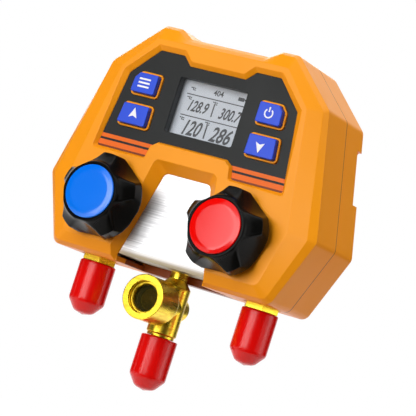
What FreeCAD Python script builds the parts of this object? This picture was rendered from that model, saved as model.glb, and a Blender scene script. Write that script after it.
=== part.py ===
import FreeCAD
import Part
import math
import os
import Sketcher
from FreeCAD import Placement, Rotation, Vector

# A digital refrigerant manifold gauge, hung up by a hook that folds out of its back.
# X runs to the right, Y from the front to the back and Z up. Pieces are drawn with Y = 0 at
# the face of the panel and moved at the end, so that the origin lies on the back face.

sizes = {
    # housing, seen from the front: half widths, and heights above the bottom line of the panel
    "housingDepth": 49.2,
    "plateauDepth": 2.0,
    "bevelDepth": 1.0,
    "frontWallBack": 4.0,
    "partingDepth": 26.0,
    "wall": 2.4,
    "originHeight": 5.5,
    "dipHalf": 21.8,
    "dipTop": 59.3,
    "earInner": 28.4,
    "earOuter": 37.7,
    "earTop": 63.2,
    "shoulderHalf": 61.0,
    "shoulderTop": 41.0,
    "waistHalf": 75.5,
    "waistDrop": 20.5,
    "footHalf": 61.6,
    "footDrop": 54.5,
    "outlineRadius": 4.5,
    "earRadius": 3.0,
    "backRound": 3.4,
    # steep bevel between the side walls and the gentle facets
    "topBevel": 1.7,
    "shoulderBevel": 1.5,
    "waistBevel": 3.7,
    "footBevel": 1.8,
    # gentle facets that fall away from the flat part of the front
    "topFacet": 7.9,
    "dipFacet": 3.9,
    "shoulderFacet": 8.8,
    "waistFacet": 13.5,
    "footFacet": 6.6,
    # panel in its recess
    "panelDipHalf": 15.7,
    "panelDipTop": 45.5,
    "panelEarInner": 20.4,
    "panelTop": 50.0,
    "panelEarOuter": 33.9,
    "panelShoulderHalf": 47.3,
    "panelShoulderTop": 36.0,
    "panelFootHalf": 52.6,
    "panelFootDrop": 2.6,
    "panelNeckHalf": 24.6,
    "panelArchHalf": 19.5,
    "panelArchTop": 6.1,
    "panelThickness": 1.0,
    "panelGap": 0.15,
    "rampWidth": 2.5,
    "rampInner": 0.9,
    # display
    "windowHalf": 19.0,
    "windowBottom": 12.1,
    "windowTop": 39.9,
    "bezelWall": 1.4,
    "bezelFlange": 1.6,
    "bezelFlangeThickness": 0.8,
    "lensThickness": 1.1,
    "displayThickness": 3.6,
    # keys
    "keyInner": 27.2,
    "lowerKeyOuter": 45.4,
    "lowerKeyBottom": 9.6,
    "lowerKeyTop": 21.9,
    "upperKeyOuter": 43.3,
    "upperKeyBottom": 25.7,
    "upperKeyTop": 37.9,
    "keyCornerCut": 3.6,
    "keyRadius": 2.0,
    "keyRim": 0.9,
    "keyRimHeight": 1.0,
    "keyGap": 0.25,
    "keyHeight": 3.9,
    "keyFlange": 0.9,
    "keyTravel": 1.5,
    "keyChamfer": 0.3,
    "domeRadius": 3.0,
    # main board
    "boardThickness": 1.6,
    "boardHalf": 46.5,
    "boardBottom": 2.0,
    "boardShoulder": 35.0,
    "boardTop": 46.5,
    "standoffRadius": 2.6,
    "standoffUpperHalf": 33.0,
    "standoffUpperTop": 43.2,
    "standoffLowerHalf": 24.0,
    "standoffLowerTop": 4.9,
    "boardScrewRadius": 1.2,
    # cut-out at the bottom of the front
    "cutTopHalf": 12.9,
    "cutTopDrop": 7.3,
    "cutFootHalf": 24.3,
    "cutFootDrop": 50.7,
    "cutFlare": 4.6,
    "cutRadius": 3.0,
    # manifold block and what is drilled in it
    "blockHalf": 55.0,
    "blockTopDrop": 5.0,
    "blockFootDrop": 50.6,
    "blockDepth": 30.0,
    "valveOffset": 35.35,
    "valveDrop": 27.4,
    "valveBoreRadius": 7.0,
    "valveBoreDepth": 20.0,
    "seatRadius": 3.0,
    "seatDepth": 4.0,
    "portOffset": 47.0,
    "portDepth": 26.5,
    "teeDepth": 25.0,
    "spigotRadius": 5.75,
    "spigotLength": 10.6,
    "wayRadius": 2.5,
    "galleryRadius": 3.0,
    "galleryDepth": 20.5,
    "galleryDrop": 22.5,
    "plugLength": 3.0,
    "fitGap": 0.05,
    # valves and handwheels
    "bonnetRadius": 10.0,
    "bonnetFront": 1.8,
    "bonnetBody": 5.0,
    "bonnetHoleRadius": 10.5,
    "stemRadius": 4.0,
    "stemFront": 15.0,
    "pistonLength": 8.5,
    "socketDepth": 3.0,
    "sealWidth": 2.0,
    "sealDepth": 1.2,
    "wheelRadius": 21.8,
    "wheelBack": 4.0,
    "wheelBackRadius": 19.0,
    "skirtBack": 8.4,
    "skirtFront": 13.2,
    "collarRadius": 14.5,
    "collarFront": 21.2,
    "flareRadius": 12.0,
    "discRadius": 13.1,
    "discSeat": 20.3,
    "discFront": 21.9,
    "discGap": 0.3,
    "scoopRadius": 20.0,
    "scoopValley": 14.8,
    "scoopTilt": 25.0,
    "wheelHollow": 8.4,
    "hollowDepth": 8.6,
    "wheelScrewRadius": 1.45,
    "wheelScrewHead": 3.4,
    "wheelWeb": 1.5,
    # ports below the block
    "hexFlats": 16.0,
    "hexHeight": 6.4,
    "flareEndRadius": 5.55,
    "portLength": 21.4,
    "capRadius": 9.1,
    "capGap": 0.2,
    "capBoreGap": 0.1,
    "capLength": 26.8,
    "capBoreDepth": 17.8,
    "capNose": 6.6,
    "portNotchRadius": 9.6,
    # sight glass tee
    "teeNeckRadius": 4.4,
    "teeNeckLength": 3.4,
    "teeConeLength": 3.6,
    "teeBarrelRadius": 7.5,
    "teeRingRadius": 6.8,
    "teeRingLength": 1.3,
    "teeBarrelEnd": 83.2,
    "teeFlareEnd": 98.0,
    "glassDrop": 67.6,
    "bossRadius": 11.0,
    "bossFront": 3.3,
    "bossBack": 14.3,
    "bossBoreRadius": 7.9,
    "glassFront": 1.5,
    "glassThickness": 3.0,
    "glassSealThickness": 1.0,
    "chamberRadius": 5.2,
    "retainerInner": 6.5,
    "retainerFront": 0.9,
    "plugRadius": 4.75,
    # sensors
    "sensorDepth": 26.0,
    "sensorRadius": 6.0,
    "sensorTop": 12.0,
    "sensorThreadRadius": 3.5,
    "sensorThreadLength": 8.0,
    # batteries and their bay
    "cellRadius": 5.25,
    "cellLength": 44.5,
    "cellPitch": 11.0,
    "cellGap": 0.05,
    "bayHalf": 22.6,
    "bayTop": 1.2,
    "bayFootDrop": 48.6,
    "bayWall": 1.6,
    "doorHalf": 25.5,
    "doorTop": 2.0,
    "doorThickness": 2.0,
    "doorGap": 0.2,
    # hook in the back
    "hookPinHeight": 46.0,
    "hookPinDepth": 46.6,
    "hookPinRadius": 1.2,
    "hookPinHalf": 8.6,
    "hookHubRadius": 2.7,
    "hookShank": 8.0,
    "hookThickness": 3.4,
    "hookReach": 24.5,
    "hookOuterRadius": 12.0,
    "hookInnerRadius": 7.2,
    "hookSideGap": 1.3,
    "hookFloorGap": 0.4,
    # notches in the sides, screws
    "notchTop": 31.0,
    "notchBottom": 5.0,
    "notchFront": 41.5,
    "notchInset": 3.4,
    "bossLowerHalf": 60.5,
    "bossLowerDrop": 34.0,
    "bossUpperHalf": 53.5,
    "bossUpperTop": 37.0,
    "screwBossRadius": 4.7,
    "screwHeadRadius": 2.9,
    "screwHeadDepth": 40.0,
    "screwHeadHeight": 2.4,
    "screwRadius": 1.45,
    "screwLength": 26.0,
    "gapWallDepth": 32.0,
}

doc = FreeCAD.newDocument("ManifoldGauge")
sheet = doc.addObject("Spreadsheet::Sheet", "Sizes")
for row, (word, number) in enumerate(sizes.items(), start=1):
    sheet.set("A%d" % row, word)
    sheet.set("B%d" % row, str(number))
    sheet.setAlias("B%d" % row, word)
doc.recompute()


# A length with its number and with the text that ties it to the sheet.
class Size:
    def __init__(self, value, text):
        self.value = value
        self.text = text

    def __add__(self, other):
        other = plain(other)
        return Size(self.value + other.value, "(%s + %s)" % (self.text, other.text))

    def __radd__(self, other):
        return plain(other) + self

    def __sub__(self, other):
        other = plain(other)
        return Size(self.value - other.value, "(%s - %s)" % (self.text, other.text))

    def __rsub__(self, other):
        return plain(other) - self

    def __mul__(self, number):
        return Size(self.value * number, "(%s * %.9g)" % (self.text, number))

    def __rmul__(self, number):
        return self * number

    def __truediv__(self, number):
        return self * (1.0 / number)

    def __neg__(self):
        return self * -1.0


def plain(number):
    if isinstance(number, Size):
        return number
    return Size(float(number), "(%.9g)" % number)


class Sheet:
    def __getattr__(self, word):
        return Size(float(sizes[word]), "Sizes.%s" % word)


s = Sheet()
parts = []


# Planes of the drawing: a front view, a plan and a side view. Each gives the sketch's
# offset for a place at x, y, z.
def front_view(x, y, z):
    return "XZ_Plane", (x, z, -plain(y))


def plan(x, y, z):
    return "XY_Plane", (x, y, z)


def side_view(x, y, z):
    return "YZ_Plane", (y, z, x)


def origin_plane(body, role):
    for feature in body.Origin.OriginFeatures:
        if feature.Role == role:
            return feature


def new_body(name):
    body = doc.addObject("PartDesign::Body", name)
    body.Label = name
    body.setExpression("Placement.Base.y", (-s.housingDepth).text)
    body.setExpression("Placement.Base.z", (-s.originHeight).text)
    parts.append(body)
    return body


def new_sketch(body, name, view, x=0, y=0, z=0):
    role, offset = view(x, y, z)
    offset = [plain(number) for number in offset]
    sketch = body.newObject("Sketcher::SketchObject", name)
    sketch.AttachmentSupport = (origin_plane(body, role), [""])
    sketch.MapMode = "FlatFace"
    sketch.AttachmentOffset = Placement(Vector(*[number.value for number in offset]), Rotation())
    for letter, number in zip("xyz", offset):
        sketch.setExpression("AttachmentOffset.Base.%s" % letter, number.text)
    return sketch


def tie(sketch, constraints):
    indexes = sketch.addConstraint([constraint for constraint, number in constraints])
    for index, (constraint, number) in zip(indexes, constraints):
        if number is not None:
            sketch.setExpression("Constraints[%d]" % index, number.text)


def corner_arc(before, corner, after, radius):
    toward = [(before[i] - corner[i], after[i] - corner[i]) for i in (0, 1)]
    first = Vector(toward[0][0], toward[1][0], 0).normalize()
    second = Vector(toward[0][1], toward[1][1], 0).normalize()
    half = first.getAngle(second) / 2
    reach = radius / math.tan(half)
    point = Vector(corner[0], corner[1], 0)
    middle = (first + second).normalize()
    centre = point + middle * (radius / math.sin(half))
    return point + first * reach, centre - middle * radius, point + second * reach


# A closed outline through corners, each with a radius where the corner is rounded.
def draw(sketch, corners):
    corners = [(plain(c[0]), plain(c[1]), plain(c[2]) if len(c) > 2 and c[2] else None) for c in corners]
    count = len(corners)
    flat = [(c[0].value, c[1].value) for c in corners]
    starts = []
    ends = []
    arcs = []
    for i, corner in enumerate(corners):
        if corner[2] is None:
            point = Vector(flat[i][0], flat[i][1], 0)
            starts.append(point)
            ends.append(point)
            arcs.append(None)
        else:
            a, b, c = corner_arc(flat[i - 1], flat[i], flat[(i + 1) % count], corner[2].value)
            starts.append(c)
            ends.append(a)
            arcs.append(Part.Arc(a, b, c))
    first = sketch.GeometryCount
    lines = [Part.LineSegment(starts[i], ends[(i + 1) % count]) for i in range(count)]
    sketch.addGeometry(lines, False)
    constraints = []
    for i, corner in enumerate(corners):
        before = first + (i - 1) % count
        after = first + i
        if arcs[i] is None:
            constraints.append((Sketcher.Constraint("Coincident", before, 2, after, 1), None))
            holder, point = after, 1
        else:
            arc = sketch.addGeometry(arcs[i], False)
            forward = sketch.getPoint(arc, 1).distanceToPoint(ends[i]) < 1e-6
            near, far = (1, 2) if forward else (2, 1)
            constraints.append((Sketcher.Constraint("Tangent", before, 2, arc, near), None))
            constraints.append((Sketcher.Constraint("Tangent", arc, far, after, 1), None))
            constraints.append((Sketcher.Constraint("Radius", arc, corner[2].value), corner[2]))
            holder = sketch.addGeometry(Part.Point(Vector(flat[i][0], flat[i][1], 0)), True)
            point = 1
            constraints.append((Sketcher.Constraint("PointOnObject", holder, 1, before), None))
            constraints.append((Sketcher.Constraint("PointOnObject", holder, 1, after), None))
        for word, number in (("DistanceX", corner[0]), ("DistanceY", corner[1])):
            constraint = Sketcher.Constraint(word, -1, 1, holder, point, number.value)
            constraints.append((constraint, number))
    tie(sketch, constraints)


def draw_circle(sketch, x, y, radius):
    x, y, radius = plain(x), plain(y), plain(radius)
    shape = Part.Circle(Vector(x.value, y.value, 0), Vector(0, 0, 1), radius.value)
    circle = sketch.addGeometry(shape, False)
    tie(sketch, [
        (Sketcher.Constraint("Radius", circle, radius.value), radius),
        (Sketcher.Constraint("DistanceX", -1, 1, circle, 3, x.value), x),
        (Sketcher.Constraint("DistanceY", -1, 1, circle, 3, y.value), y),
    ])


def fill(sketch, shapes):
    for shape in shapes:
        if shape[0] == "circle":
            draw_circle(sketch, *shape[1:])
        else:
            draw(sketch, shape[1])


def feature(body, kind, name, sketch, length=None, turn=False):
    item = body.newObject("PartDesign::" + kind, name)
    item.Profile = sketch
    if length is not None:
        item.Length = plain(length).value
        item.setExpression("Length", plain(length).text)
    item.Reversed = turn
    return item


# A plate between two depths, drawn in the front view.
def plate(body, name, shapes, front, back):
    sketch = new_sketch(body, name + "Sketch", front_view, 0, back, 0)
    fill(sketch, shapes)
    return feature(body, "Pad", name, sketch, back - front)


# An opening from one depth back to another, drawn in the front view.
def opening(body, name, shapes, front, back):
    sketch = new_sketch(body, name + "Sketch", front_view, 0, front, 0)
    fill(sketch, shapes)
    return feature(body, "Pocket", name, sketch, back - front)


# A column between two heights, and a shaft cut between them, drawn in plan.
def column(body, name, shapes, low, high):
    sketch = new_sketch(body, name + "Sketch", plan, 0, 0, low)
    fill(sketch, shapes)
    return feature(body, "Pad", name, sketch, high - low)


def shaft(body, name, shapes, low, high):
    sketch = new_sketch(body, name + "Sketch", plan, 0, 0, high)
    fill(sketch, shapes)
    return feature(body, "Pocket", name, sketch, high - low)


# A bar along X and a bore along X, drawn in the side view.
def bar(body, name, shapes, left, right):
    sketch = new_sketch(body, name + "Sketch", side_view, left, 0, 0)
    fill(sketch, shapes)
    return feature(body, "Pad", name, sketch, right - left)


def cross_bore(body, name, shapes, left, right):
    sketch = new_sketch(body, name + "Sketch", side_view, right, 0, 0)
    fill(sketch, shapes)
    return feature(body, "Pocket", name, sketch, right - left)


# A turned piece or a turned cut about an axis along Y, with corners as radius and depth.
def turned(body, name, corners, x, z, kind="Revolution"):
    sketch = new_sketch(body, name + "Sketch", plan, x, 0, z)
    draw(sketch, corners)
    item = body.newObject("PartDesign::" + kind, name)
    item.Profile = sketch
    item.ReferenceAxis = (sketch, ["V_Axis"])
    item.Angle = 360
    return item


# The same about a vertical axis, with corners as radius and height.
def turned_up(body, name, corners, x, y, kind="Revolution"):
    sketch = new_sketch(body, name + "Sketch", front_view, x, y, 0)
    draw(sketch, corners)
    item = body.newObject("PartDesign::" + kind, name)
    item.Profile = sketch
    item.ReferenceAxis = (sketch, ["V_Axis"])
    item.Angle = 360
    return item


def loft(body, kind, name, sections):
    sketches = []
    for number, (depth, corners) in enumerate(sections):
        sketch = new_sketch(body, "%sSketch%d" % (name, number), front_view, 0, depth, 0)
        draw(sketch, corners)
        sketches.append(sketch)
    item = body.newObject("PartDesign::" + kind, name)
    item.Profile = sketches[0]
    item.Sections = sketches[1:]
    item.Ruled = True
    return item


def soften(body, kind, name, base, choose, size):
    doc.recompute()
    edges = ["Edge%d" % number for number, edge in enumerate(base.Shape.Edges, start=1) if choose(edge)]
    item = body.newObject("PartDesign::" + kind, name)
    item.Base = (base, edges)
    if kind == "Fillet":
        item.Radius = plain(size).value
        item.setExpression("Radius", plain(size).text)
    else:
        item.Size = plain(size).value
        item.setExpression("Size", plain(size).text)
    body.Tip = item
    return item


def both_sides(half):
    other = [(-plain(corner[0]),) + tuple(corner[1:]) for corner in reversed(half)]
    return list(half) + other


def mirrored(corners):
    return [(-plain(corner[0]),) + tuple(corner[1:]) for corner in reversed(corners)]


def on_side(corners, side):
    return corners if side > 0 else mirrored(corners)


def box_shape(left, bottom, right, top, radius=None):
    return [(left, bottom, radius), (right, bottom, radius), (right, top, radius), (left, top, radius)]


# The same outline moved inwards by a distance, or outwards where it is negative.
def inset(corners, distance, radii=True):
    flat = [(plain(c[0]).value, plain(c[1]).value) for c in corners]
    count = len(flat)
    area = sum(flat[i - 1][0] * flat[i][1] - flat[i][0] * flat[i - 1][1] for i in range(count))
    hand = 1.0 if area > 0 else -1.0
    moved = []
    for i in range(count):
        normals = []
        for a, b in ((flat[i - 1], flat[i]), (flat[i], flat[(i + 1) % count])):
            length = math.hypot(b[0] - a[0], b[1] - a[1])
            normals.append((-(b[1] - a[1]) / length * hand, (b[0] - a[0]) / length * hand))
        share = 1.0 + normals[0][0] * normals[1][0] + normals[0][1] * normals[1][1]
        move = [(normals[0][k] + normals[1][k]) / share for k in (0, 1)]
        corner = [plain(corners[i][k]) + plain(distance) * move[k] for k in (0, 1)]
        if len(corners[i]) > 2 and corners[i][2] and radii:
            turn = (flat[i][0] - flat[i - 1][0]) * (flat[(i + 1) % count][1] - flat[i][1])
            turn -= (flat[i][1] - flat[i - 1][1]) * (flat[(i + 1) % count][0] - flat[i][0])
            outward = turn * hand > 0
            corner.append(plain(corners[i][2]) - distance if outward else plain(corners[i][2]) + distance)
        moved.append(tuple(corner))
    return moved


def hexagon(x, y, flats):
    corner = plain(flats) / math.sqrt(3)
    points = []
    for i in range(6):
        angle = math.radians(60 * i)
        points.append((plain(x) + corner * math.cos(angle), plain(y) + corner * math.sin(angle)))
    return points


def housing_outline():
    return both_sides([
        (s.dipHalf, s.dipTop, s.earRadius),
        (s.earInner, s.earTop, s.earRadius),
        (s.earOuter, s.earTop, s.earRadius + 1.0),
        (s.shoulderHalf, s.shoulderTop, s.outlineRadius),
        (s.waistHalf, -s.waistDrop, s.outlineRadius),
        (s.footHalf, -s.footDrop, s.outlineRadius),
    ])


def bevel_outline():
    return both_sides([
        (s.dipHalf + 0.5, s.dipTop - s.topBevel, s.earRadius),
        (s.earInner + 0.5, s.earTop - s.topBevel, s.earRadius),
        (s.earOuter - 0.8, s.earTop - s.topBevel, s.earRadius + 0.8),
        (s.shoulderHalf - s.shoulderBevel, s.shoulderTop - s.shoulderBevel, s.outlineRadius - 0.3),
        (s.waistHalf - s.waistBevel, -s.waistDrop - 0.5, s.outlineRadius - 0.3),
        (s.footHalf - s.footBevel, -s.footDrop + s.footBevel, s.outlineRadius - 0.3),
    ])


def plateau_outline():
    top = s.earTop - s.topFacet
    return both_sides([
        (s.dipHalf + 0.2, s.dipTop - s.dipFacet, s.earRadius),
        (s.earInner + 0.2, top, s.earRadius),
        (s.earOuter - 1.0, top - 0.1, s.earRadius),
        (s.shoulderHalf - s.shoulderFacet, s.shoulderTop - 2.5, s.outlineRadius - 1.0),
        (s.waistHalf - s.waistFacet, -s.waistDrop + 0.5, s.outlineRadius - 1.0),
        (s.footHalf - s.footFacet, -s.footDrop + s.footFacet, s.outlineRadius - 1.0),
    ])


def panel_outline(radius=1.0):
    return both_sides([
        (s.panelDipHalf, s.panelDipTop, radius),
        (s.panelEarInner, s.panelTop, radius),
        (s.panelEarOuter, s.panelTop, radius),
        (s.panelShoulderHalf, s.panelShoulderTop, radius),
        (s.panelFootHalf, -s.panelFootDrop, radius),
        (s.panelNeckHalf, -s.panelFootDrop, radius),
        (s.panelNeckHalf - 1.4, s.panelArchTop - 2.7, radius),
        (s.panelArchHalf, s.panelArchTop, radius),
    ])


def recess_rim(radius=1.4):
    wide = s.rampWidth
    slim = s.rampInner
    return both_sides([
        (s.panelDipHalf - slim, s.panelDipTop + slim + 1.3, radius),
        (s.panelEarInner - slim, s.panelTop + wide, radius),
        (s.panelEarOuter + slim, s.panelTop + wide, radius),
        (s.panelShoulderHalf + wide + 0.4, s.panelShoulderTop + slim, radius),
        (s.panelFootHalf + 1.6, -s.panelFootDrop - slim - 0.8, radius),
        (s.panelNeckHalf - slim, -s.panelFootDrop - slim, radius),
        (s.panelNeckHalf - 1.4 - slim, s.panelArchTop - 2.7 - slim * 0.6, radius),
        (s.panelArchHalf - slim * 0.4, s.panelArchTop - slim, radius),
    ])


# Rims of the keys: outlines of the lower and upper one on the right side.
def lower_rim():
    return [
        (s.keyInner, s.lowerKeyBottom, s.keyRadius),
        (s.lowerKeyOuter, s.lowerKeyBottom, s.keyRadius),
        (s.lowerKeyOuter - 1.5, s.lowerKeyTop, s.keyRadius),
        (s.keyInner + 0.2, s.lowerKeyTop, s.keyRadius),
    ]


def upper_rim():
    return [
        (s.keyInner + 0.4, s.upperKeyBottom, s.keyRadius),
        (s.upperKeyOuter, s.upperKeyBottom, s.keyRadius),
        (s.upperKeyOuter - 0.6, s.upperKeyTop - s.keyCornerCut, s.keyRadius),
        (s.upperKeyOuter - s.keyCornerCut, s.upperKeyTop, s.keyRadius),
        (s.keyInner + 0.4, s.upperKeyTop, s.keyRadius),
    ]


def rims():
    return [on_side(rim, side) for rim in (lower_rim(), upper_rim()) for side in (1, -1)]


def cut_outline(flare):
    slope = (s.cutFootHalf - s.cutTopHalf) / (sizes["cutFootDrop"] - sizes["cutTopDrop"])
    foot = s.footDrop + 5.0
    low = s.cutTopHalf + slope * (sizes["footDrop"] + 5.0 - sizes["cutTopDrop"])
    return both_sides([
        (s.cutTopHalf + flare, -s.cutTopDrop + flare * 1.1, s.cutRadius),
        (low + flare * 0.55, -foot),
    ])


def window_shape(extra=0):
    return box_shape(
        -(s.windowHalf + extra), s.windowBottom - extra, s.windowHalf + extra, s.windowTop + extra, 1.2)


def side_x(height):
    share = (s.waistHalf - s.shoulderHalf) / (sizes["shoulderTop"] + sizes["waistDrop"])
    return s.shoulderHalf + share * (sizes["shoulderTop"] - plain(height).value)


screw_places = [
    (side * half, top)
    for side in (1, -1)
    for half, top in ((s.bossLowerHalf, -s.bossLowerDrop), (s.bossUpperHalf, s.bossUpperTop))
]
board_places = [
    (side * half, top)
    for side in (1, -1)
    for half, top in (
        (s.standoffUpperHalf, s.standoffUpperTop), (s.standoffLowerHalf, s.standoffLowerTop))
]


bay_front = s.frontWallBack + s.blockDepth + s.bayWall
cell_depth = bay_front + s.cellRadius + s.cellGap


def front_shell():
    body = new_body("front_shell")
    loft(body, "AdditiveLoft", "FrontFacets", [
        (s.frontWallBack, housing_outline()),
        (s.bevelDepth, bevel_outline()),
        (-s.plateauDepth, plateau_outline()),
    ])
    plate(body, "Sides", [("outline", housing_outline())], s.frontWallBack, s.partingDepth)
    inner = inset(housing_outline(), s.wall)
    opening(body, "Cavity", [("outline", inner)], s.frontWallBack, s.partingDepth)
    loft(body, "SubtractiveLoft", "PanelRamp", [
        (-s.plateauDepth, recess_rim()),
        (0, panel_outline()),
    ])
    opening(
        body, "PanelSeat", [("outline", inset(panel_outline(), -s.panelGap))], -0.01, s.panelThickness)
    plate(body, "KeyRims", [("outline", rim) for rim in rims()], -s.keyRimHeight, s.frontWallBack)
    opening(
        body, "KeyHoles", [("outline", inset(rim, s.keyRim)) for rim in rims()],
        -s.keyRimHeight, s.frontWallBack)
    opening(
        body, "Window", [("outline", window_shape(s.bezelWall + s.fitGap))],
        s.panelThickness, s.frontWallBack)
    loft(body, "SubtractiveLoft", "CutOut", [
        (-s.plateauDepth, cut_outline(s.cutFlare)),
        (s.frontWallBack, cut_outline(plain(0))),
    ])
    gap_half = s.cutFootHalf + 0.3
    shaft(
        body, "LegGap", [("outline", box_shape(-gap_half, s.frontWallBack - 0.5, gap_half, s.partingDepth))],
        -s.footDrop, -s.blockFootDrop)
    opening(
        body, "BonnetHoles",
        [("circle", side * s.valveOffset, -s.valveDrop, s.bonnetHoleRadius) for side in (1, -1)],
        -s.plateauDepth, s.frontWallBack)
    plate(
        body, "Bosses", [("circle", x, z, s.screwBossRadius - 1.0) for x, z in screw_places],
        s.frontWallBack, s.partingDepth)
    pilot = s.screwHeadDepth - s.screwLength - 1.0
    opening(
        body, "PilotHoles", [("circle", x, z, s.screwRadius + s.fitGap) for x, z in screw_places],
        pilot, s.partingDepth)
    board = s.frontWallBack + s.bezelFlangeThickness + s.lensThickness + s.displayThickness
    plate(
        body, "Standoffs", [("circle", x, z, s.standoffRadius) for x, z in board_places],
        s.frontWallBack, board)
    opening(
        body, "StandoffHoles", [("circle", x, z, s.boardScrewRadius + s.fitGap) for x, z in board_places],
        s.frontWallBack + 0.6, board)
    shaft(
        body, "PortNotches",
        [("circle", side * s.portOffset, s.portDepth, s.portNotchRadius) for side in (1, -1)],
        -s.footDrop - 1.0, -s.blockFootDrop)


def board_front():
    return s.frontWallBack + s.bezelFlangeThickness + s.lensThickness + s.displayThickness


def rear_shell():
    body = new_body("rear_shell")
    sides = plate(body, "Sides", [("outline", housing_outline())], s.partingDepth, s.housingDepth)
    soften(
        body, "Fillet", "BackRound", sides,
        lambda edge: all(abs(v.Point.y - sizes["housingDepth"]) < 1e-6 for v in edge.Vertexes),
        s.backRound)
    inner = inset(housing_outline(), s.wall)
    opening(body, "Cavity", [("outline", inner)], s.partingDepth, s.housingDepth - s.wall)
    for side, word in ((1, "Right"), (-1, "Left")):
        low = s.notchBottom - s.wall
        high = s.notchTop + s.wall
        deep = s.notchInset + s.wall
        pod = [
            (side_x(low) - deep, low), (side_x(low) - s.wall / 2, low),
            (side_x(high) - s.wall / 2, high), (side_x(high) - deep, high),
        ]
        plate(
            body, "NotchWall" + word, [("outline", on_side(pod, side))],
            s.notchFront - s.wall, s.housingDepth - s.wall / 2)
        low, high = s.notchBottom, s.notchTop
        notch = [
            (side_x(low) - s.notchInset, low, 1.0), (side_x(low) + 3.0, low),
            (side_x(high) + 3.0, high), (side_x(high) - s.notchInset, high, 1.0),
        ]
        opening(
            body, "Notch" + word, [("outline", on_side(notch, side))], s.notchFront, s.housingDepth + 1.0)
    # bay of the batteries with the seat of its door
    bay = box_shape(-s.bayHalf, -s.bayFootDrop, s.bayHalf, s.bayTop, 1.0)
    door = box_shape(
        -s.doorHalf - s.doorGap, -s.bayFootDrop - 2.0 - s.doorGap, s.doorHalf + s.doorGap,
        s.doorTop + s.doorGap, 2.0)
    plate(
        body, "BayWalls", [("outline", inset(bay, -s.bayWall))], bay_front - s.bayWall,
        s.housingDepth - s.wall)
    plate(
        body, "DoorFrame", [("outline", inset(door, -s.bayWall))],
        s.housingDepth - s.doorThickness - s.bayWall, s.housingDepth - s.wall / 2)
    opening(body, "Bay", [("outline", bay)], bay_front, s.housingDepth)
    opening(body, "DoorSeat", [("outline", door)], s.housingDepth - s.doorThickness, s.housingDepth)
    # recess of the hook
    floor = s.hookPinDepth - s.hookHubRadius - s.hookFloorGap
    ring = s.hookPinHeight - s.hookReach
    round_radius = s.hookOuterRadius + s.hookSideGap
    plate(
        body, "HookPodRound", [("circle", 0, ring, round_radius + s.bayWall)], floor - s.bayWall,
        s.housingDepth - s.wall / 2)
    half = s.hookShank / 2 + s.hookSideGap
    pod = box_shape(-s.hookPinHalf - 1.2, ring, s.hookPinHalf + 1.2, s.dipTop - s.wall / 2)
    plate(
        body, "HookPodChannel", [("outline", pod)], floor - s.bayWall, s.housingDepth - s.wall / 2)
    opening(body, "HookRound", [("circle", 0, ring, round_radius)], floor, s.housingDepth)
    opening(
        body, "HookChannel", [("outline", box_shape(-half, ring, half, s.dipTop + 4.0))],
        floor, s.housingDepth)
    cross_bore(
        body, "PinHole",
        [("circle", s.hookPinDepth, s.hookPinHeight, s.hookPinRadius + s.fitGap)],
        -s.hookPinHalf, s.hookPinHalf)
    # screws, ports and the gap between the legs
    plate(
        body, "Bosses", [("circle", x, z, s.screwBossRadius) for x, z in screw_places],
        s.partingDepth, s.housingDepth - s.wall / 2)
    opening(
        body, "ScrewHoles", [("circle", x, z, s.screwRadius + 0.2) for x, z in screw_places],
        s.partingDepth, s.screwHeadDepth)
    opening(
        body, "ScrewWells", [("circle", x, z, s.screwHeadRadius + 0.3) for x, z in screw_places],
        s.screwHeadDepth, s.housingDepth)
    gap_half = s.cutFootHalf + 0.3
    shaft(
        body, "LegGap",
        [("outline", box_shape(-gap_half, s.partingDepth, gap_half, s.gapWallDepth))],
        -s.footDrop, -s.blockFootDrop)
    rim = box_shape(-gap_half - 1.0, -s.footDrop, gap_half + 1.0, -s.blockFootDrop)
    plate(body, "GapWall", [("outline", rim)], s.gapWallDepth, s.gapWallDepth + s.wall)
    shaft(
        body, "PortNotches",
        [("circle", side * s.portOffset, s.portDepth, s.portNotchRadius) for side in (1, -1)],
        -s.footDrop - 1.0, -s.blockFootDrop)


def panel():
    body = new_body("faceplate")
    plate(body, "Plate", [("outline", panel_outline())], 0, s.panelThickness)
    opening(body, "Window", [("outline", window_shape())], 0, s.panelThickness)
    opening(
        body, "KeyOpenings", [("outline", inset(rim, -s.panelGap)) for rim in rims()],
        0, s.panelThickness)


def display():
    seat = s.frontWallBack
    body = new_body("display_bezel")
    plate(
        body, "Frame", [("outline", window_shape(s.bezelWall))], s.panelThickness,
        seat + s.bezelFlangeThickness)
    plate(
        body, "Flange", [("outline", window_shape(s.bezelWall + s.bezelFlange))], seat,
        seat + s.bezelFlangeThickness)
    opening(
        body, "Window", [("outline", window_shape())], s.panelThickness, seat + s.bezelFlangeThickness)
    lens = new_body("display_lens")
    front = seat + s.bezelFlangeThickness
    plate(lens, "Sheet", [("outline", window_shape(s.bezelWall))], front, front + s.lensThickness)
    glass = new_body("lcd_panel")
    front = front + s.lensThickness
    plate(
        glass, "Panel", [("outline", window_shape(s.bezelWall + 0.8))], front,
        front + s.displayThickness)


def board():
    front = board_front()
    body = new_body("main_circuit_board")
    outline = both_sides([
        (s.boardHalf - 9.5, s.boardTop, 1.0), (s.boardHalf, s.boardShoulder, 1.0),
        (s.boardHalf, s.boardBottom, 1.0),
    ])
    plate(body, "Board", [("outline", outline)], front, front + s.boardThickness)
    opening(
        body, "ScrewHoles", [("circle", x, z, s.boardScrewRadius + 0.2) for x, z in board_places],
        front, front + s.boardThickness)
    screws("board_screws", board_places, front + s.boardThickness, s.boardScrewRadius, 6.2, 2.2, 1.6)


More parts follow.
